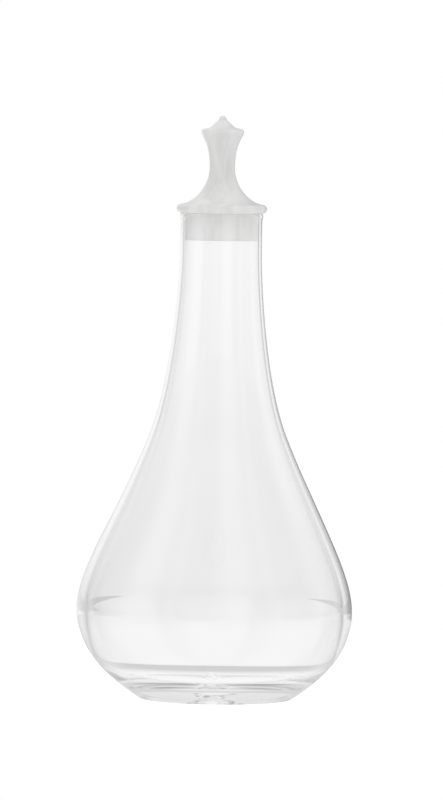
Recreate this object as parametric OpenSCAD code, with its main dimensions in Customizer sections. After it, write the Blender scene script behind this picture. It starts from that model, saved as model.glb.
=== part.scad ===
// Genie bottle: a blown clear glass bottle with a loose white stopper.
// Millimetres, +Z up. The origin is on the axis, in the plane that the foot rests on.
// Each of the two pieces is one closed outline swept round the Z axis.

/* [Bottle outside] */
// Height from the table to the top of the lip
bottle_h = 265.4; // [250:0.1:290]
// Outer diameter of the neck
neck_d = 44.4; // [38:0.1:52]
// Length of straight neck below the lip
neck_straight = 19.4; // [17:0.1:30]
// Diameter where the neck's sweep turns into the slope of the body
shoulder_d = 76; // [66:0.5:90]
// Height of that turning point
shoulder_h = 142.5; // [125:0.5:160]
// Slope of the wall at that point, measured from the upright
shoulder_slope = 21.8; // [16:0.1:28]
// Greatest diameter of the body
body_d = 150.4; // [135:0.1:165]
// Height of the greatest diameter
belly_h = 48.8; // [42:0.1:60]
// Diameter of the foot, where its edge starts to round
foot_d = 83.4; // [74:0.1:95]
// Slope at which the body meets the foot, measured from the level
heel_slope = 33; // [24:0.5:42]
// Radius of the foot's rounded edge
foot_round = 1.5; // [0.5:0.1:4]

/* [Bottle curves, each pull a share of the span of its curve] */
// Pull of the straight neck on the sweep below it
neck_pull = 0.125; // [0.05:0.005:0.4]
// Pull of the shoulder slope on the sweep above it
shoulder_pull_up = 0.34; // [0.1:0.01:0.5]
// Pull of the shoulder slope on the body below it
shoulder_pull_down = 0.46; // [0.1:0.01:0.6]
// Pull of the upright belly on the body above it
belly_pull_up = 0.215; // [0.1:0.005:0.4]
// Pull of the upright belly on the heel below it
belly_pull_down = 0.333; // [0.1:0.001:0.5]
// Pull of the heel slope on the curve above the foot
heel_pull = 0.355; // [0.1:0.005:0.5]

/* [Bottle wall] */
// Wall of the neck
neck_wall = 2; // [1.5:0.1:3]
// Wall at the greatest diameter
belly_wall = 5.6; // [3.5:0.1:8]
// How late the wall gathers on its way down: 1 is steady, more is later
wall_gather = 2.5; // [1:0.1:4]
// How far the fire-polished lip swells past the neck's outside
lip_swell = 0.5; // [0.2:0.1:1]
// Length over which the neck swells into the lip
lip_blend = 3; // [1:0.1:5]
// Height of the cavity's floor above the table
floor_h = 9.5; // [6:0.1:12]
// Diameter of the level part of the cavity's floor
floor_d = 76; // [50:1:100]
// Pull of the upright inner wall on its curve down to the floor
floor_pull_side = 0.45; // [0.2:0.01:0.6]
// Pull of the level floor on the curve up to the wall
floor_pull_level = 0.4; // [0.2:0.01:0.6]

/* [Pushed-up base] */
// Width of the flat ring that the bottle stands on
ring_w = 7; // [3:0.1:10]
// Rise of the underside inside that ring
dish_rise = 1.2; // [0.5:0.1:2.5]
// Height of the hollow point pushed up from below
push_h = 14; // [10:0.1:15]
// Radius at which the hollow point has fallen to about a third
push_r = 5.9; // [4:0.1:8]
// Glass over the tip of the hollow point
push_wall = 2.1; // [1.5:0.1:4]
// Radius at which the nipple inside the bottle has fallen to about a third
nipple_r = 4; // [3:0.1:6]

/* [Stopper plug and flange] */
// Play between the plug and the neck's bore, on each side
plug_play = 0.4; // [0.2:0.05:0.8]
// Gap between the flange and the lip that it rests on
seat_gap = 0.05; // [0.02:0.01:0.2]
// Length of the plug below the flange
plug_len = 14.9; // [10:0.1:16]
// Wall of the hollow plug
plug_wall = 3; // [2:0.1:5]
// Radius of the plug's rounded lower rim
plug_round = 0.8; // [0.3:0.1:1]
// Height of the plug's hollow above the flange's underside
hollow_h = 9; // [3:0.1:11]
// Pull of the hollow's side on its dome
hollow_pull_side = 0.45; // [0.2:0.01:0.6]
// Pull of the hollow's crown on its dome
hollow_pull_crown = 0.2; // [0.1:0.01:0.3]
// How far the flange reaches past the neck's outside
flange_lap = 2.5; // [1:0.1:6]
// Thickness of the flange at its full-round edge
flange_t = 4.8; // [3:0.1:7]

/* [Stopper stem and top] */
// Slope of the flare where it runs out on the flange, measured from the level
flare_slope = 6; // [0:0.5:20]
// Diameter of the stem at its waist
waist_d = 13.8; // [11:0.1:17]
// Height of the waist above the flange's underside
waist_h = 25; // [22:0.1:30]
// Diameter of the collar under the point
collar_d = 23.4; // [19:0.1:28]
// Height of the collar's widest line above the flange's underside
collar_h = 44.3; // [40:0.1:50]
// Radius of the collar's rounded edge
collar_round = 1.5; // [0.6:0.1:1.8]
// Slope of the stem right under the collar, measured from the upright
collar_slope = 20; // [12:0.5:40]
// Rise from the collar's widest line to the foot of the point
collar_rise = 2.5; // [2:0.1:4]
// Diameter of the point at its foot
point_d = 13.2; // [10:0.1:16]
// Height of the point's straight cone
point_h = 4.2; // [3:0.1:8]
// Radius of the small round tip
tip_r = 2.1; // [1.2:0.1:3]

/* [Stopper curves, each pull a share of the span of its curve] */
// Pull of the collar on the stem below it
collar_pull = 0.2; // [0.1:0.01:0.5]
// Pull of the waist on the stem above it
waist_pull_up = 0.62; // [0.1:0.01:0.7]
// Pull of the waist on the flare below it
waist_pull_down = 0.42; // [0.2:0.01:0.7]
// Pull of the flange on the flare above it
flare_pull = 0.29; // [0.1:0.01:0.6]

/* [Hidden] */

// Sides of a full turn, and straight steps in a curve, a bell and a round edge
$fn = 180;
curve_steps = 28;
bell_steps = 16;
arc_steps = 12;
// A bell is level again at this many times its radius
bell_reach = 2.3;

neck_r = neck_d / 2;
bore_r = neck_r - neck_wall;
neck_end = bottle_h - neck_straight;
lip_r = (neck_wall + lip_swell) / 2;
lip_c = [bore_r + lip_r, bottle_h - lip_r];
shoulder = [shoulder_d / 2, shoulder_h];
shoulder_dir = [sin(shoulder_slope), -cos(shoulder_slope)];
belly = [body_d / 2, belly_h];
heel_dir = [cos(heel_slope), sin(heel_slope)];
foot_c = [foot_d / 2 - foot_round * sin(heel_slope), foot_round];
ring_in = foot_c[0] - ring_w;

seat_z = bottle_h + seat_gap;
plug_r = bore_r - plug_play;
plug_c = [plug_r - plug_round, seat_z - plug_len + plug_round];
hollow_r = plug_r - plug_wall;
flange_c = [neck_r + flange_lap - flange_t / 2, seat_z + flange_t / 2];
waist = [waist_d / 2, seat_z + waist_h];
collar_c = [collar_d / 2 - collar_round, seat_z + collar_h];
point_foot = [point_d / 2, collar_c[1] + collar_rise];
tip_c = [0, point_foot[1] + point_h];
// Angle on the collar's round edge that its shallow top runs into
to_point = point_foot - collar_c;
collar_top = atan2(to_point[1], to_point[0]) - acos(collar_round / norm(to_point));

function bezier(s, t) =
    pow(1 - t, 3) * s[0] + 3 * pow(1 - t, 2) * t * s[1]
    + 3 * (1 - t) * t * t * s[2] + pow(t, 3) * s[3];

// Direction in which a curve runs at t
function way(s, t) =
    let (w = pow(1 - t, 2) * (s[1] - s[0]) + 2 * (1 - t) * t * (s[2] - s[1]) + t * t * (s[3] - s[2]))
    w / norm(w);

// Four control points of a curve that leaves a along a_dir and meets d against d_dir
function sweep(a, a_dir, a_pull, d, d_dir, d_pull) =
    let (span = norm(d - a))
    [a, a + a_dir * a_pull * span, d + d_dir * d_pull * span, d];

function along(s) = [for (i = [0:curve_steps]) bezier(s, i / curve_steps)];

function wall_at(z) =
    let (share = (neck_end - z) / (neck_end - belly_h))
    neck_wall + (belly_wall - neck_wall) * pow(min(1, max(0, share)), wall_gather);

// The inner face of a wall: its outer curve moved inwards, square to itself
function inside(s) = [
    for (i = [0:curve_steps])
        let (p = bezier(s, i / curve_steps), w = way(s, i / curve_steps))
        p - [-w[1], w[0]] * wall_at(p[1])
];

function backwards(points) = [for (i = [len(points) - 1:-1:0]) points[i]];

// A round edge, from one angle to another about its centre
function arc(c, r, from, to) = [
    for (i = [0:arc_steps])
        let (a = from + (to - from) * i / arc_steps)
        c + r * [cos(a), sin(a)]
];

// A bell-shaped rise, from its tip on the axis out to its foot
function bell(r, low, rise) = [
    for (i = [0:bell_steps])
        let (x = bell_reach * r * i / bell_steps)
        [x, low + rise * exp(-pow(x / r, 2))]
];

upper_curve = sweep([neck_r, neck_end], [0, -1], neck_pull, shoulder, -shoulder_dir, shoulder_pull_up);
lower_curve = sweep(shoulder, shoulder_dir, shoulder_pull_down, belly, [0, 1], belly_pull_up);
heel_curve = sweep(
    belly, [0, -1], belly_pull_down,
    foot_c + foot_round * [sin(heel_slope), -cos(heel_slope)], heel_dir, heel_pull
);
floor_curve = sweep(
    belly - [belly_wall, 0], [0, -1], floor_pull_side,
    [floor_d / 2, floor_h], [1, 0], floor_pull_level
);
lip_curve = sweep(
    [neck_r, lip_c[1] - lip_blend], [0, 1], 0.5,
    [neck_r + lip_swell, lip_c[1]], [0, -1], 0.5
);

module bottle() {
    color([0.93, 0.94, 0.94, 0.35])
    rotate_extrude()
    polygon(concat(
        bell(push_r, dish_rise, push_h - dish_rise),
        [[ring_in, 0]],
        arc(foot_c, foot_round, -90, heel_slope - 90),
        backwards(along(heel_curve)),
        backwards(along(lower_curve)),
        backwards(along(upper_curve)),
        along(lip_curve),
        arc(lip_c, lip_r, 0, 180),
        inside(upper_curve),
        inside(lower_curve),
        along(floor_curve),
        backwards(bell(nipple_r, floor_h, push_h + push_wall - floor_h))
    ));
}

stem_curve = sweep(
    collar_c + collar_round * [cos(collar_slope), -sin(collar_slope)],
    [-sin(collar_slope), -cos(collar_slope)], collar_pull,
    waist, [0, 1], waist_pull_up
);
flare_curve = sweep(
    waist, [0, -1], waist_pull_down,
    flange_c + flange_t / 2 * [sin(flare_slope), cos(flare_slope)],
    [-cos(flare_slope), sin(flare_slope)], flare_pull
);
hollow_curve = sweep(
    [hollow_r, seat_z - plug_wall], [0, 1], hollow_pull_side,
    [0, seat_z + hollow_h], [1, 0], hollow_pull_crown
);

module stopper() {
    color([0.88, 0.88, 0.87])
    rotate_extrude()
    polygon(concat(
        arc(tip_c, tip_r, 90, 0),
        [point_foot],
        arc(collar_c, collar_round, collar_top, -collar_slope),
        along(stem_curve),
        along(flare_curve),
        arc(flange_c, flange_t / 2, 90 - flare_slope, -90),
        [[plug_r, seat_z]],
        arc(plug_c, plug_round, 0, -90),
        arc([hollow_r + plug_round, plug_c[1]], plug_round, -90, -180),
        along(hollow_curve)
    ));
}

bottle();
stopper();
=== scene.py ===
import math

import bpy
from bpy.props import FloatProperty, FloatVectorProperty, IntProperty, PointerProperty
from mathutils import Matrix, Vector


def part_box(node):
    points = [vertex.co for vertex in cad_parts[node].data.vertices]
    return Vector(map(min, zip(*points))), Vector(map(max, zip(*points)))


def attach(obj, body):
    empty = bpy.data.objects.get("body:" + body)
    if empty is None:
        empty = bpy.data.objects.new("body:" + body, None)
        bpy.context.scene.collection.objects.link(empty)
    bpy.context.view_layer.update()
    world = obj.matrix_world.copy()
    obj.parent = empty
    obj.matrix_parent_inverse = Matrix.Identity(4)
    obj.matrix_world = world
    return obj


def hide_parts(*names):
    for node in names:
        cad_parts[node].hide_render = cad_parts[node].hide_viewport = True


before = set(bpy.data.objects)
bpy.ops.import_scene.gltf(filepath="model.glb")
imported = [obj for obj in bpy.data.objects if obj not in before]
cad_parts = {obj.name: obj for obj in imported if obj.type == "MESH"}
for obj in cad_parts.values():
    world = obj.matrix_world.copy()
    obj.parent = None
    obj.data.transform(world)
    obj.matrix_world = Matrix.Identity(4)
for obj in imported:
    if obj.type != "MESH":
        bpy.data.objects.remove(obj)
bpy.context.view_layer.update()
BOTTLE_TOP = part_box("bottle")[1]
STOPPER_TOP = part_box("stopper")[1]

bl_info = {
    "name": "Genie bottle",
    "version": (1, 0, 0),
    "blender": (4, 5, 0),
    "location": "3D View > Sidebar > Genie Bottle",
    "description": "Blown clear glass bottle with a loose white glass stopper, in a white studio",
    "category": "Object",
}

# Light that has bounced in the glass more often than this goes straight out, so thick glass stays clear.
LATE_BOUNCE = 4
# Points nearer to each other than this are one point.
MERGE_DISTANCE = 1e-6


def size(name, description, default):
    """A length that a user can change."""
    return FloatProperty(
        name=name, description=description, default=default, unit="LENGTH", subtype="DISTANCE", precision=4
    )


def share(name, description, default):
    """A plain number that a user can change."""
    return FloatProperty(name=name, description=description, default=default, precision=3)


def angle(name, description, degrees):
    """An angle that a user can change."""
    return FloatProperty(
        name=name, description=description, default=math.radians(degrees), unit="ROTATION", subtype="ANGLE"
    )


def pull(name, default):
    """How far a curve keeps to the direction that it starts or ends in, as a share of what it spans."""
    return share(name, "How far the curve keeps straight there, as a share of its span", default)


def colour(name, description, default):
    """A colour that a user can change."""
    return FloatVectorProperty(
        name=name, description=description, default=default, size=3, min=0, max=1, subtype="COLOR"
    )


class BottleSizes(bpy.types.PropertyGroup):
    """Sizes of the blown bottle."""

    height: size("Height", "From the table to the top of the lip", BOTTLE_TOP.z)
    neck_r: size("Neck radius", "Outer radius of the neck", 0.0222)
    neck_straight: size("Straight neck", "Length of straight neck below the lip", 0.0194)
    shoulder_r: size("Shoulder radius", "Radius where the neck's sweep turns into the body", 0.038)
    shoulder_z: size("Shoulder height", "Height of that turning point", 0.1425)
    shoulder_slope: angle("Shoulder slope", "Slope there, from the upright", 21.8)
    belly_r: size("Belly radius", "Greatest radius of the body", BOTTLE_TOP.x)
    belly_z: size("Belly height", "Height of the greatest radius", 0.0488)
    foot_r: size("Foot radius", "Radius of the foot, where its edge starts to round", 0.0417)
    heel_slope: angle("Heel slope", "Slope at which the body meets the foot, from the level", 33)
    foot_round: size("Foot rounding", "Radius of the foot's rounded edge", 0.0015)
    neck_wall: size("Neck wall", "Wall of the neck", 0.002)
    belly_wall: size("Belly wall", "Wall at the greatest radius", 0.0056)
    wall_gather: share("Wall gather", "How late the wall thickens on its way down", 2.5)
    lip_swell: size("Lip swell", "How far the lip swells past the neck", 0.0005)
    lip_blend: size("Lip blend", "Length over which the neck swells into the lip", 0.003)
    floor_z: size("Floor height", "Height of the cavity's floor", 0.0095)
    floor_r: size("Floor radius", "Radius of the level floor", 0.038)
    ring_w: size("Ring width", "Width of the flat ring under the foot", 0.007)
    dish_z: size("Dish rise", "Rise of the underside inside the ring", 0.0012)
    push_z: size("Push height", "Height of the hollow point pushed up from below", 0.014)
    push_r: size("Push radius", "Radius at which the hollow point has fallen to a third", 0.0059)
    push_wall: size("Push wall", "Glass over the hollow point", 0.0021)
    nipple_r: size("Nipple radius", "Radius at which the nipple has fallen to a third", 0.004)
    neck_pull: pull("Neck pull", 0.125)
    upper_pull: pull("Pull above the shoulder", 0.34)
    lower_pull: pull("Pull below the shoulder", 0.46)
    belly_pull: pull("Belly pull", 0.215)
    heel_pull: pull("Heel pull", 0.38)
    wall_pull: pull("Inner wall pull", 0.45)
    floor_pull: pull("Floor pull", 0.4)
    lip_pull: pull("Lip pull", 0.5)
    crease: angle("Crease", "Angle past which an edge stays sharp", 60)
    bow: size("Bow", "How far the hand-blown bottle leans to the left where the neck widens", 0.0006)
    bow_z: size("Bow height", "Height at which it leans so", 0.15)
    bow_reach: size("Bow reach", "How far that bow spreads up and down", 0.12)
    low_bow: size("Low bow", "How far the body leans to the left on top of that", 0.0012)
    low_bow_z: size("Low bow height", "Height at which the body leans so", 0.055)
    low_bow_reach: size("Low bow reach", "How far the low bow spreads up and down", 0.07)
    nipple_off: size("Nipple offset", "How far the nipple stands to the left of the axis", 0.0025)
    nipple_reach: size("Nipple reach", "How far the nipple draws the middle of the base along", 0.014)


class StopperSizes(bpy.types.PropertyGroup):
    """Sizes of the stopper. Heights are above the flange's underside."""

    top: size("Top", "Height of the tip above the table", STOPPER_TOP.z)
    seat_gap: size("Seat gap", "Gap between the flange and the lip", 0.00005)
    plug_play: size("Plug play", "Play between the plug and the bore", 0.0004)
    plug_len: size("Plug length", "Length of the plug", 0.0149)
    plug_wall: size("Plug wall", "Wall of the hollow plug", 0.003)
    plug_round: size("Plug rounding", "Radius of the plug's lower rim", 0.0008)
    hollow_z: size("Hollow height", "Height of the hollow's crown", 0.009)
    flange_lap: size("Flange lap", "How far the flange reaches past the neck", 0.0025)
    flange_t: size("Flange thickness", "Thickness at its full-round edge", 0.0048)
    flare_slope: angle("Flare slope", "Slope where the flare meets the flange", 6)
    waist_r: size("Waist radius", "Radius of the stem's waist", 0.0069)
    waist_z: size("Waist height", "Height of the waist", 0.025)
    collar_r: size("Collar radius", "Radius of the collar", 0.0117)
    collar_z: size("Collar height", "Height of the collar's widest line", 0.0443)
    collar_round: size("Collar rounding", "Radius of the collar's edge", 0.0015)
    collar_slope: angle("Collar slope", "Slope of the stem under the collar, from the upright", 20)
    collar_rise: size("Collar rise", "Rise from the widest line to the point", 0.0025)
    point_r: size("Point radius", "Radius of the point at its foot", 0.0066)
    tip_r: size("Tip radius", "Radius of the round tip", 0.0021)
    collar_pull: pull("Collar pull", 0.2)
    upper_waist_pull: pull("Pull above the waist", 0.62)
    lower_waist_pull: pull("Pull below the waist", 0.42)
    flange_pull: pull("Flange pull", 0.29)
    hollow_pull: pull("Hollow pull", 0.45)
    crown_pull: pull("Crown pull", 0.2)
    crease: angle("Crease", "Angle past which an edge stays sharp", 40)


class GlassLooks(bpy.types.PropertyGroup):
    """Finish of the two kinds of glass."""

    clear_grey: colour("Clear glass tint", "What the clear glass lets through", (0.02, 0.02, 0.02))
    clear_density: share("Clear glass density", "How fast it darkens with depth, per metre", 2.0)
    clear_ior: share("Clear glass index", "Index of refraction of the clear glass", 1.5)
    ripple: share("Ripple", "Strength of the blown surface's slow ripples", 0.03)
    ripple_scale: share("Ripple scale", "How close together the ripples are", 18.0)
    ripple_depth: size("Ripple depth", "Depth of the ripples at full strength", 0.004)
    white_light: colour("White glass, light", "Light parts of the white glass", (0.82, 0.82, 0.815))
    white_dark: colour("White glass, dark", "Streaks in the white glass", (0.75, 0.75, 0.745))
    white_rough: share("White glass roughness", "Satin finish of the stopper", 0.38)
    rough_spread: share("Roughness spread", "How far that finish varies with the grain", 0.1)
    white_ior: share("White glass index", "Index of refraction of the white glass", 1.5)
    white_scatter: share("White glass scatter", "Share of the light that spreads under the surface", 0.35)
    white_depth: size("White glass depth", "How deep light spreads in the white glass", 0.004)
    streak_lean: angle("Streak lean", "How far the streaks lean from the upright", 24)
    streak_scale: share("Streak scale", "How close together the streaks are", 130.0)
    streak_squash: share("Streak squash", "How drawn out the streaks are, less for longer ones", 0.22)
    streak_low: share("Streak, low end", "Noise at which the streaks begin", 0.42)
    streak_high: share("Streak, high end", "Noise at which they are darkest", 0.68)
    grain: share("Grain", "Strength of the satin surface's grain", 0.08)
    grain_scale: share("Grain scale", "How fine the grain is", 2600.0)
    grain_depth: size("Grain depth", "Depth of the grain at full strength", 0.0002)


class StudioSettings(bpy.types.PropertyGroup):
    """Camera, lamp and backdrop."""

    camera_far: size("Camera distance", "From the bottle's axis to the camera", 3.6)
    camera_z: size("Camera height", "Height of the camera", 0.31)
    aim_x: size("Aim to the side", "Where the camera points, to the right of the axis", 0.001216)
    aim_z: size("Aim height", "Height at which the camera points", 0.16343)
    roll: angle("Camera roll", "Roll of the camera", 0.75)
    view_angle: angle("View angle", "Upright angle of view", 6.94)
    floor_r: size("Floor radius", "Radius of the pale floor", 0.5)
    floor_grey: share("Floor grey", "How pale the floor's own colour is", 0.8)
    floor_glow: share("Floor glow", "Light that the white floor gives off", 0.62)
    fill: share("Fill", "Strength of the even light all round", 0.66)
    mirror: share("Mirrored light", "How bright the studio shows in reflections", 1.04)
    through: share("Light behind", "How bright the studio shows through clear glass", 0.97)
    haze: share("Haze", "Share of that brightness that is left low down", 0.9)
    haze_low: share("Haze, low end", "Sine of the slope at which the haze is full", -0.085)
    haze_high: share("Haze, high end", "Sine of the slope at which the haze is gone", -0.015)
    ceiling: share("Ceiling", "Brightness overhead, as clear glass shows it", 0.85)
    ceiling_low: share("Ceiling, low end", "Sine of the slope at which the ceiling begins", 0.45)
    ceiling_high: share("Ceiling, high end", "Sine of the slope past which it is even", 0.8)
    floor_through: share("Floor behind", "Light of the floor that clear glass shows", 0.63)
    floor_under: share("Floor beneath", "The same under and close to the bottle", 1.0)
    floor_near_r: size("Near floor", "Radius within which the floor shows as bright as beneath", 0.05)
    floor_far_r: size("Far floor", "Radius past which the floor shows as bright as far off", 0.12)
    floor_mirror: share("Mirrored floor", "Light of the floor that reflections show", 0.7)
    inside: share("Inside light", "How much brighter the even light is inside the clear glass", 0.9)
    lamp_power: share("Lamp power", "Power of the lamp overhead, in watts", 4.4)
    lamp_width: size("Lamp width", "Width of the lamp", 0.9)
    lamp_front: size("Lamp in front", "How far the lamp stands in front of the bottle", 0.5)
    lamp_z: size("Lamp height", "Height of the lamp", 1.4)
    turns: IntProperty(
        name="Turn steps", description="Steps in a full turn of each piece", default=192, min=48
    )


def bezier(a, b, c, d, steps):
    """Points along a curve, with its first but not its last."""
    for i in range(steps):
        t = i / steps
        u = 1 - t
        yield a * u**3 + b * (3 * u * u * t) + c * (3 * u * t * t) + d * t**3


def sweep(a, a_dir, a_pull, d, d_dir, d_pull, steps=48):
    """Points of a curve that leaves a along a_dir and meets d against d_dir. Pulls are shares of a to d."""
    span = (d - a).length
    return list(bezier(a, a + a_dir * a_pull * span, d + d_dir * d_pull * span, d, steps))


def arc(centre, radius, start, end, steps=12):
    """Points of a round edge, with both ends."""
    angles = [start + (end - start) * i / steps for i in range(steps + 1)]
    return [centre + radius * Vector((math.cos(a), math.sin(a))) for a in angles]


def bell(radius, low, rise, steps=24, reach=2.3):
    """Points of a bell-shaped rise, from its tip on the axis out to its foot."""
    xs = [reach * radius * i / steps for i in range(steps + 1)]
    return [Vector((x, low + rise * math.exp(-((x / radius) ** 2)))) for x in xs]


def inwards(points, wall_at):
    """The same outline moved in from the outside by its wall, square to itself."""
    moved = []
    for i, here in enumerate(points):
        before, after = points[max(i - 1, 0)], points[min(i + 1, len(points) - 1)]
        way = (after - before).normalized()
        moved.append(here - Vector((-way.y, way.x)) * wall_at(here.y))
    return moved


def bottle_outline(s):
    """The bottle's outline as (radius, height), from the axis below to the axis inside."""
    up, level = Vector((0, 1)), Vector((1, 0))
    neck_end = s.height - s.neck_straight
    shoulder = Vector((s.shoulder_r, s.shoulder_z))
    slope = Vector((math.sin(s.shoulder_slope), -math.cos(s.shoulder_slope)))
    belly = Vector((s.belly_r, s.belly_z))
    heel_dir = Vector((math.cos(s.heel_slope), math.sin(s.heel_slope)))
    heel_out = Vector((math.sin(s.heel_slope), -math.cos(s.heel_slope)))
    foot = Vector((s.foot_r - s.foot_round * math.sin(s.heel_slope), s.foot_round))
    bore = s.neck_r - s.neck_wall
    lip_r = (s.neck_wall + s.lip_swell) / 2
    lip = Vector((bore + lip_r, s.height - lip_r))

    def wall_at(z):
        down = min(1, max(0, (neck_end - z) / (neck_end - s.belly_z)))
        return s.neck_wall + (s.belly_wall - s.neck_wall) * down**s.wall_gather

    upper = sweep(Vector((s.neck_r, neck_end)), -up, s.neck_pull, shoulder, -slope, s.upper_pull)
    lower = sweep(shoulder, slope, s.lower_pull, belly, up, s.belly_pull)
    heel = sweep(belly, -up, s.heel_pull, foot + s.foot_round * heel_out, heel_dir, s.heel_pull)
    inner_belly = belly - Vector((s.belly_wall, 0))
    floor_edge = Vector((s.floor_r, s.floor_z))
    floor = sweep(inner_belly, -up, s.wall_pull, floor_edge, level, s.floor_pull, steps=40)
    lip_start = Vector((s.neck_r, lip.y - s.lip_blend))
    lip_end = Vector((s.neck_r + s.lip_swell, lip.y))
    lip_rise = sweep(lip_start, up, s.lip_pull, lip_end, -up, s.lip_pull, steps=10)
    outside = upper + lower + [belly]
    underside = bell(s.push_r, s.dish_z, s.push_z - s.dish_z) + [Vector((foot.x - s.ring_w, 0))]
    return (
        underside
        + arc(foot, s.foot_round, -math.pi / 2, s.heel_slope - math.pi / 2, steps=6)
        + heel[:0:-1]
        + outside[::-1]
        + lip_rise
        + arc(lip, lip_r, 0, math.pi)
        + inwards(outside, wall_at)[:-1]
        + floor
        + bell(s.nipple_r, s.floor_z, s.push_z + s.push_wall - s.floor_z)[::-1]
    )


def stopper_outline(s, bottle):
    """The stopper's outline as (radius, height), from the tip down and round into the plug's hollow."""
    up, level = Vector((0, 1)), Vector((1, 0))
    seat = bottle.height + s.seat_gap
    plug_r = bottle.neck_r - bottle.neck_wall - s.plug_play
    hollow_r = plug_r - s.plug_wall
    rim_z = seat - s.plug_len + s.plug_round
    flange = Vector((bottle.neck_r + s.flange_lap - s.flange_t / 2, seat + s.flange_t / 2))
    waist = Vector((s.waist_r, seat + s.waist_z))
    collar = Vector((s.collar_r - s.collar_round, seat + s.collar_z))
    point = Vector((s.point_r, collar.y + s.collar_rise))
    tip = Vector((0, s.top - s.tip_r))
    to_point = point - collar
    collar_top = math.atan2(to_point.y, to_point.x) - math.acos(s.collar_round / to_point.length)
    under = Vector((math.cos(s.collar_slope), -math.sin(s.collar_slope)))
    down_stem = Vector((-math.sin(s.collar_slope), -math.cos(s.collar_slope)))
    flare_out = Vector((math.sin(s.flare_slope), math.cos(s.flare_slope)))
    flare_in = Vector((-math.cos(s.flare_slope), math.sin(s.flare_slope)))
    stem = sweep(collar + s.collar_round * under, down_stem, s.collar_pull, waist, up, s.upper_waist_pull)
    flare_end = flange + s.flange_t / 2 * flare_out
    flare = sweep(waist, -up, s.lower_waist_pull, flare_end, flare_in, s.flange_pull)
    hollow_top = Vector((hollow_r, seat - s.plug_wall))
    crown = Vector((0, seat + s.hollow_z))
    dome = sweep(hollow_top, up, s.hollow_pull, crown, level, s.crown_pull, steps=24)
    return (
        arc(tip, s.tip_r, math.pi / 2, 0)
        + [point]
        + arc(collar, s.collar_round, collar_top, -s.collar_slope)
        + stem[1:]
        + flare
        + arc(flange, s.flange_t / 2, math.pi / 2 - s.flare_slope, -math.pi / 2, steps=18)
        + [Vector((plug_r, seat))]
        + arc(Vector((plug_r - s.plug_round, rim_z)), s.plug_round, 0, -math.pi / 2, steps=8)
        + arc(Vector((hollow_r + s.plug_round, rim_z)), s.plug_round, -math.pi / 2, -math.pi, steps=8)
        + dome
        + [crown]
    )


def turn(name, outline, steps):
    """A piece turned from its outline: one vertex is extruded along it, and the wire is spun round Z."""
    bpy.ops.object.select_all(action="DESELECT")
    bpy.ops.mesh.primitive_plane_add(size=0.01, location=(0, 0, 0))
    piece = bpy.context.object
    piece.name = piece.data.name = name
    bpy.ops.object.mode_set(mode="EDIT")
    bpy.ops.mesh.merge(type="CENTER")
    at = Vector((0, 0))
    for i, here in enumerate(outline):
        step = here - at
        if i == 0:
            bpy.ops.transform.translate(value=(step.x, 0, step.y))
        elif step.length > MERGE_DISTANCE:
            bpy.ops.mesh.extrude_region_move(TRANSFORM_OT_translate={"value": (step.x, 0, step.y)})
        else:
            continue
        at = here
    bpy.ops.mesh.select_all(action="SELECT")
    bpy.ops.mesh.spin(steps=steps, angle=2 * math.pi, center=(0, 0, 0), axis=(0, 0, 1))
    bpy.ops.mesh.select_all(action="SELECT")
    bpy.ops.mesh.remove_doubles(threshold=MERGE_DISTANCE)
    bpy.ops.mesh.normals_make_consistent(inside=False)
    bpy.ops.object.mode_set(mode="OBJECT")
    return piece


def lean(piece, height, by, reach, within=math.inf):
    """Moves the rings at a height and within a radius to the left, and draws along what is within reach."""
    band = 0.001
    bpy.ops.object.mode_set(mode="EDIT")
    bpy.ops.mesh.select_all(action="DESELECT")
    bpy.ops.object.mode_set(mode="OBJECT")
    for vertex in piece.data.vertices:
        vertex.select = abs(vertex.co.z - height) < band and vertex.co.xy.length < within
    bpy.ops.object.mode_set(mode="EDIT")
    bpy.ops.transform.translate(
        value=(-by, 0, 0),
        use_proportional_edit=True,
        proportional_edit_falloff="SMOOTH",
        proportional_size=reach,
    )
    bpy.ops.object.mode_set(mode="OBJECT")


def dress(piece, material, node, crease):
    """Gives a turned piece its finish and puts it in the place of its CAD node."""
    bpy.ops.object.select_all(action="DESELECT")
    piece.select_set(True)
    bpy.context.view_layer.objects.active = piece
    bpy.ops.object.shade_smooth_by_angle(angle=crease)
    piece.data.materials.clear()
    piece.data.materials.append(material)
    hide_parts(node)
    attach(piece, node)


class Wire:
    """A node's output that takes part in Python's own arithmetic."""

    def __init__(self, shader, socket):
        self.shader = shader
        self.socket = socket

    def maths(self, operation, *others):
        return self.shader.node("ShaderNodeMath", {"operation": operation}, [self, *others])

    def __add__(self, other):
        return self.maths("ADD", other)

    def __sub__(self, other):
        return self.maths("SUBTRACT", other)

    def __rsub__(self, other):
        return self.shader.node("ShaderNodeMath", {"operation": "SUBTRACT"}, [other, self])

    def __mul__(self, other):
        return self.maths("MULTIPLY", other)

    __radd__ = __add__
    __rmul__ = __mul__


class Shader:
    """One node tree, built up node by node."""

    def __init__(self, owner):
        owner.use_nodes = True
        self.tree = owner.node_tree
        self.tree.nodes.clear()

    def node(self, kind, settings=None, values=(), output=0):
        """Adds a node: its settings first, then a value or a wire for each of its sockets."""
        made = self.tree.nodes.new(kind)
        for name, value in (settings or {}).items():
            if name == "stops":
                self.set_stops(made.color_ramp, value)
            else:
                setattr(made, name, value)
        for key, value in values.items() if isinstance(values, dict) else enumerate(values):
            if isinstance(value, Wire):
                self.tree.links.new(value.socket, made.inputs[key])
            else:
                made.inputs[key].default_value = value
        return Wire(self, made.outputs[output]) if made.outputs else None

    def rays(self, *names):
        """Wires that say what kind of ray is being followed, each from the output of that name."""
        made = self.node("ShaderNodeLightPath").socket.node
        return [Wire(self, made.outputs[name]) for name in names]

    def set_stops(self, ramp, stops):
        for place, _ in stops[2:]:
            ramp.elements.new(place)
        for element, (place, grey) in zip(ramp.elements, sorted(stops)):
            element.position = place
            element.color = (grey, grey, grey, 1)


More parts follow.
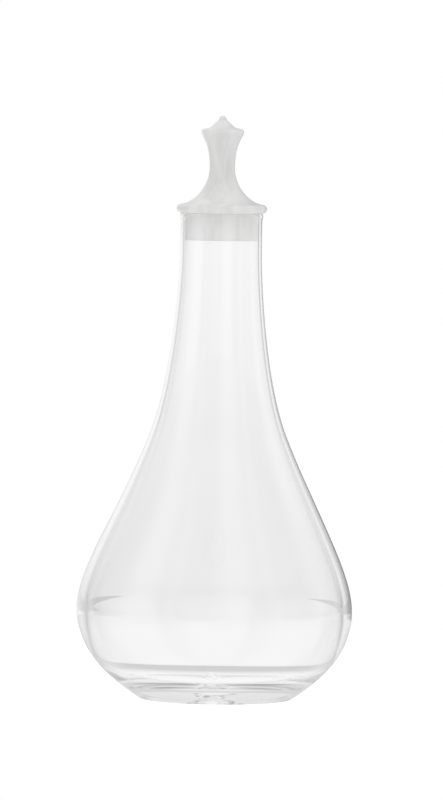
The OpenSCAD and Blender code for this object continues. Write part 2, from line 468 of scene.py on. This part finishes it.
def shown_by_glass(is_through, bounces):
    """One for a ray that last went through clear glass or has bounced in it for long, and else zero."""
    return is_through.maths("MAXIMUM", bounces.maths("GREATER_THAN", LATE_BOUNCE))


def clear_glass(looks):
    """Colourless blown glass: smooth, with slow ripples, and greyer where it is thick."""
    material = bpy.data.materials.new("clear_glass")
    shader = Shader(material)
    place = shader.node("ShaderNodeTexCoord", output="Object")
    ripples = shader.node(
        "ShaderNodeTexNoise",
        {},
        {"Vector": place, "Scale": looks.ripple_scale, "Detail": 1.0, "Roughness": 0.4},
    )
    normal = shader.node(
        "ShaderNodeBump",
        {},
        {"Strength": looks.ripple, "Distance": looks.ripple_depth, "Height": ripples},
    )
    surface = shader.node(
        "ShaderNodeBsdfPrincipled",
        {},
        {
            "Base Color": (1, 1, 1, 1),
            "Roughness": 0.0,
            "IOR": looks.clear_ior,
            "Transmission Weight": 1.0,
            "Normal": normal,
        },
    )
    inside = shader.node(
        "ShaderNodeVolumeAbsorption", {}, {"Color": (*looks.clear_grey, 1), "Density": looks.clear_density}
    )
    is_shadow, bounces = shader.rays("Is Shadow Ray", "Ray Depth")
    is_late = bounces.maths("GREATER_THAN", LATE_BOUNCE)
    open_glass = shader.node("ShaderNodeBsdfTransparent", {}, {"Color": (1, 1, 1, 1)})
    seen = shader.node("ShaderNodeMixShader", {}, [is_late, surface, open_glass])
    lit = shader.node("ShaderNodeMixShader", {}, [is_shadow, seen, open_glass])
    shader.node("ShaderNodeOutputMaterial", {}, {"Surface": lit, "Volume": inside})
    return material


def white_glass(looks):
    """White translucent glass with faint slanting streaks and a satin surface."""
    material = bpy.data.materials.new("white_glass")
    shader = Shader(material)
    place = shader.node("ShaderNodeTexCoord", output="Object")
    slanted = shader.node(
        "ShaderNodeMapping",
        {},
        {"Vector": place, "Rotation": (0, looks.streak_lean, 0), "Scale": (1.0, 1.0, looks.streak_squash)},
    )
    streaks = shader.node(
        "ShaderNodeTexNoise",
        {},
        {
            "Vector": slanted,
            "Scale": looks.streak_scale,
            "Detail": 3.0,
            "Roughness": 0.55,
            "Distortion": 0.6,
        },
    )
    depth = shader.node(
        "ShaderNodeMapRange",
        {"interpolation_type": "SMOOTHSTEP"},
        [streaks, looks.streak_low, looks.streak_high, 0.0, 1.0],
    )
    # In a mix of colours, sockets 6 and 7 are the two colours, and output 2 is what they make.
    tint = shader.node(
        "ShaderNodeMix",
        {"data_type": "RGBA"},
        {0: depth, 6: (*looks.white_light, 1), 7: (*looks.white_dark, 1)},
        output=2,
    )
    grain = shader.node(
        "ShaderNodeTexNoise", {}, {"Vector": place, "Scale": looks.grain_scale, "Detail": 2.0}
    )
    normal = shader.node(
        "ShaderNodeBump", {}, {"Strength": looks.grain, "Distance": looks.grain_depth, "Height": grain}
    )
    rough = grain * looks.rough_spread + (looks.white_rough - looks.rough_spread / 2)
    surface = shader.node(
        "ShaderNodeBsdfPrincipled",
        {"subsurface_method": "RANDOM_WALK"},
        {
            "Base Color": tint,
            "Roughness": rough,
            "IOR": looks.white_ior,
            "Subsurface Weight": looks.white_scatter,
            "Subsurface Radius": (1.0, 1.0, 1.0),
            "Subsurface Scale": looks.white_depth,
            "Normal": normal,
        },
    )
    shader.node("ShaderNodeOutputMaterial", {}, {"Surface": surface})
    return material


def white_floor(studio):
    """A pale floor that is white in the picture and keeps the shadow of what stands on it."""
    material = bpy.data.materials.new("white_floor")
    shader = Shader(material)
    grey = (studio.floor_grey, studio.floor_grey, studio.floor_grey, 1)
    lit = shader.node("ShaderNodeBsdfDiffuse", {}, {"Color": grey})
    glow = shader.node("ShaderNodeEmission", {}, {"Color": (1, 1, 1, 1), "Strength": studio.floor_glow})
    shown = shader.node("ShaderNodeAddShader", {}, [lit, glow])
    place = shader.node("ShaderNodeTexCoord", output="Object")
    from_axis = shader.node("ShaderNodeVectorMath", {"operation": "LENGTH"}, [place], output="Value")
    seen = shader.node(
        "ShaderNodeMapRange",
        {},
        [from_axis, studio.floor_near_r, studio.floor_far_r, studio.floor_under, studio.floor_through],
    )
    is_glossy, is_through, bounces = shader.rays("Is Glossy Ray", "Is Transmission Ray", "Ray Depth")
    level = shown_by_glass(is_through, bounces) * (seen - studio.floor_mirror) + studio.floor_mirror
    pale = shader.node("ShaderNodeCombineColor", {}, [level, level, level])
    in_glass = shader.node("ShaderNodeEmission", {}, {"Color": pale, "Strength": 1.0})
    is_in_glass = is_glossy.maths("MAXIMUM", is_through)
    surface = shader.node("ShaderNodeMixShader", {}, [is_in_glass, shown, in_glass])
    shader.node("ShaderNodeOutputMaterial", {}, {"Surface": surface})
    return material


# The studio's brightness all round repeats after this many degrees, round the middle of a bright wall.
SECTOR = 90
# That brightness, by the angle in degrees to the right of a wall's middle. Clear glass shows the first list
# and mirrors the second, in which a dark board right of each wall draws the glass's edge on that side.
SEEN_THROUGH = [(-45, 0.7), (-36, 0.68), (-28, 0.9), (-18, 1.0), (30, 1.0), (36, 0.55), (45, 0.55)]
MIRRORED = [
    (-45, 0.6), (-35, 0.9), (-30, 1.0), (-14, 1.0), (4, 0.1), (28, 0.1), (36, 0.8), (40, 0.9), (45, 0.6)
]


def studio_world(studio):
    """Light from all round: white to the camera, with dark boards between bright walls in clear glass."""
    world = bpy.data.worlds.new("white_studio")
    bpy.context.scene.world = world
    shader = Shader(world)
    direction = shader.node("ShaderNodeTexCoord", output="Generated")
    split = shader.node("ShaderNodeSeparateXYZ", {}, [direction])
    x, y, z = (Wire(shader, split.socket.node.outputs[i]) for i in range(3))
    # The place in a sector runs from 0 at its left end to 1 at its right.
    half = math.radians(SECTOR) / 2
    place = x.maths("ARCTAN2", y).maths("WRAP", half, -half) * (0.5 / half) + 0.5
    seen, mirrored = (
        shader.node(
            "ShaderNodeValToRGB", {"stops": [(at / SECTOR + 0.5, level) for at, level in walls]}, [place]
        )
        for walls in (SEEN_THROUGH, MIRRORED)
    )
    haze = shader.node("ShaderNodeMapRange", {}, [z, studio.haze_low, studio.haze_high, studio.haze, 1.0])
    ceiling = shader.node(
        "ShaderNodeMapRange",
        {},
        [z, studio.ceiling_low, studio.ceiling_high, studio.through, studio.ceiling],
    )
    is_camera, is_through, bounces, diffuse_bounces = shader.rays(
        "Is Camera Ray", "Is Transmission Ray", "Ray Depth", "Diffuse Depth"
    )
    is_light = diffuse_bounces.maths("MINIMUM", 1.0)
    level = mirrored * studio.mirror
    level = level + shown_by_glass(is_through, bounces) * (seen * haze * ceiling - level)
    level = level + is_light * ((is_through * studio.inside + 1) * studio.fill - level)
    level = level + is_camera * (1 - level)
    light = shader.node("ShaderNodeBackground", {}, {"Color": (1, 1, 1, 1), "Strength": level})
    shader.node("ShaderNodeOutputWorld", {}, {"Surface": light})


def soft_lamp(name, place, width, power):
    """A square soft lamp that points at the stopper."""
    bpy.ops.object.light_add(type="AREA", location=place)
    lamp = bpy.context.object
    lamp.name = name
    lamp.data.size = width
    lamp.data.energy = power
    lamp.visible_glossy = lamp.visible_transmission = False
    aim = Vector((0, 0, BOTTLE_TOP.z))
    lamp.rotation_euler = (aim - Vector(place)).to_track_quat("-Z", "Y").to_euler()


class GENIE_OT_bottle(bpy.types.Operator):
    """Turn the clear glass bottle and let it lean as the blown one does."""

    bl_idname = "genie.bottle"
    bl_label = "Clear glass bottle"

    def execute(self, context):
        sizes = context.scene.genie_bottle
        piece = turn("blown_bottle", bottle_outline(sizes), context.scene.genie_studio.turns)
        lean(piece, sizes.bow_z, sizes.bow, sizes.bow_reach)
        lean(piece, sizes.low_bow_z, sizes.low_bow, sizes.low_bow_reach)
        lean(piece, sizes.push_z, sizes.nipple_off, sizes.nipple_reach, sizes.floor_r)
        dress(piece, clear_glass(context.scene.genie_glass), "bottle", sizes.crease)
        return {"FINISHED"}


class GENIE_OT_stopper(bpy.types.Operator):
    """Turn the white glass stopper with its hollow plug."""

    bl_idname = "genie.stopper"
    bl_label = "White glass stopper"

    def execute(self, context):
        scene = context.scene
        sizes = scene.genie_stopper
        piece = turn("white_stopper", stopper_outline(sizes, scene.genie_bottle), scene.genie_studio.turns)
        dress(piece, white_glass(scene.genie_glass), "stopper", sizes.crease)
        return {"FINISHED"}


class GENIE_OT_studio(bpy.types.Operator):
    """Lay the pale floor, light the studio and set up the camera."""

    bl_idname = "genie.studio"
    bl_label = "White studio"

    def execute(self, context):
        studio = context.scene.genie_studio
        bpy.ops.object.select_all(action="DESELECT")
        bpy.ops.mesh.primitive_circle_add(vertices=96, radius=studio.floor_r, fill_type="NGON")
        floor = context.object
        floor.name = "pale_floor"
        floor.data.materials.append(white_floor(studio))
        studio_world(studio)
        lamp_place = (0, -studio.lamp_front, studio.lamp_z)
        soft_lamp("lamp_overhead", lamp_place, studio.lamp_width, studio.lamp_power)
        bpy.ops.object.camera_add(location=(0, -studio.camera_far, studio.camera_z))
        camera = context.object
        aim = Vector((studio.aim_x, 0, studio.aim_z)) - camera.location
        camera.rotation_euler = aim.to_track_quat("-Z", "Y").to_euler()
        camera.rotation_euler.rotate_axis("Z", studio.roll)
        camera.data.lens = camera.data.sensor_width / 2 / math.tan(studio.view_angle / 2)
        context.scene.camera = camera
        context.scene.view_settings.view_transform = "Standard"
        return {"FINISHED"}


class GENIE_PT_panel(bpy.types.Panel):
    """Lists the bottle's pieces and their sizes."""

    bl_idname = "GENIE_PT_panel"
    bl_label = "Genie bottle"
    bl_space_type = "VIEW_3D"
    bl_region_type = "UI"
    bl_category = "Genie Bottle"

    def draw(self, context):
        for operator in OPERATORS:
            self.layout.operator(operator.bl_idname)
        for name in GROUPS:
            group = getattr(context.scene, name)
            box = self.layout.box()
            for setting in group.__annotations__:
                box.prop(group, setting)


OPERATORS = [GENIE_OT_bottle, GENIE_OT_stopper, GENIE_OT_studio]
GROUPS = {
    "genie_bottle": BottleSizes,
    "genie_stopper": StopperSizes,
    "genie_glass": GlassLooks,
    "genie_studio": StudioSettings,
}


def register():
    for group in GROUPS.values():
        bpy.utils.register_class(group)
    for name, group in GROUPS.items():
        setattr(bpy.types.Scene, name, PointerProperty(type=group))
    for made in [*OPERATORS, GENIE_PT_panel]:
        bpy.utils.register_class(made)


def unregister():
    for name in GROUPS:
        delattr(bpy.types.Scene, name)
    for made in [GENIE_PT_panel, *OPERATORS, *GROUPS.values()]:
        bpy.utils.unregister_class(made)


def main():
    register()
    bpy.ops.genie.bottle()
    bpy.ops.genie.stopper()
    bpy.ops.genie.studio()


if __name__ == "__main__":
    main()
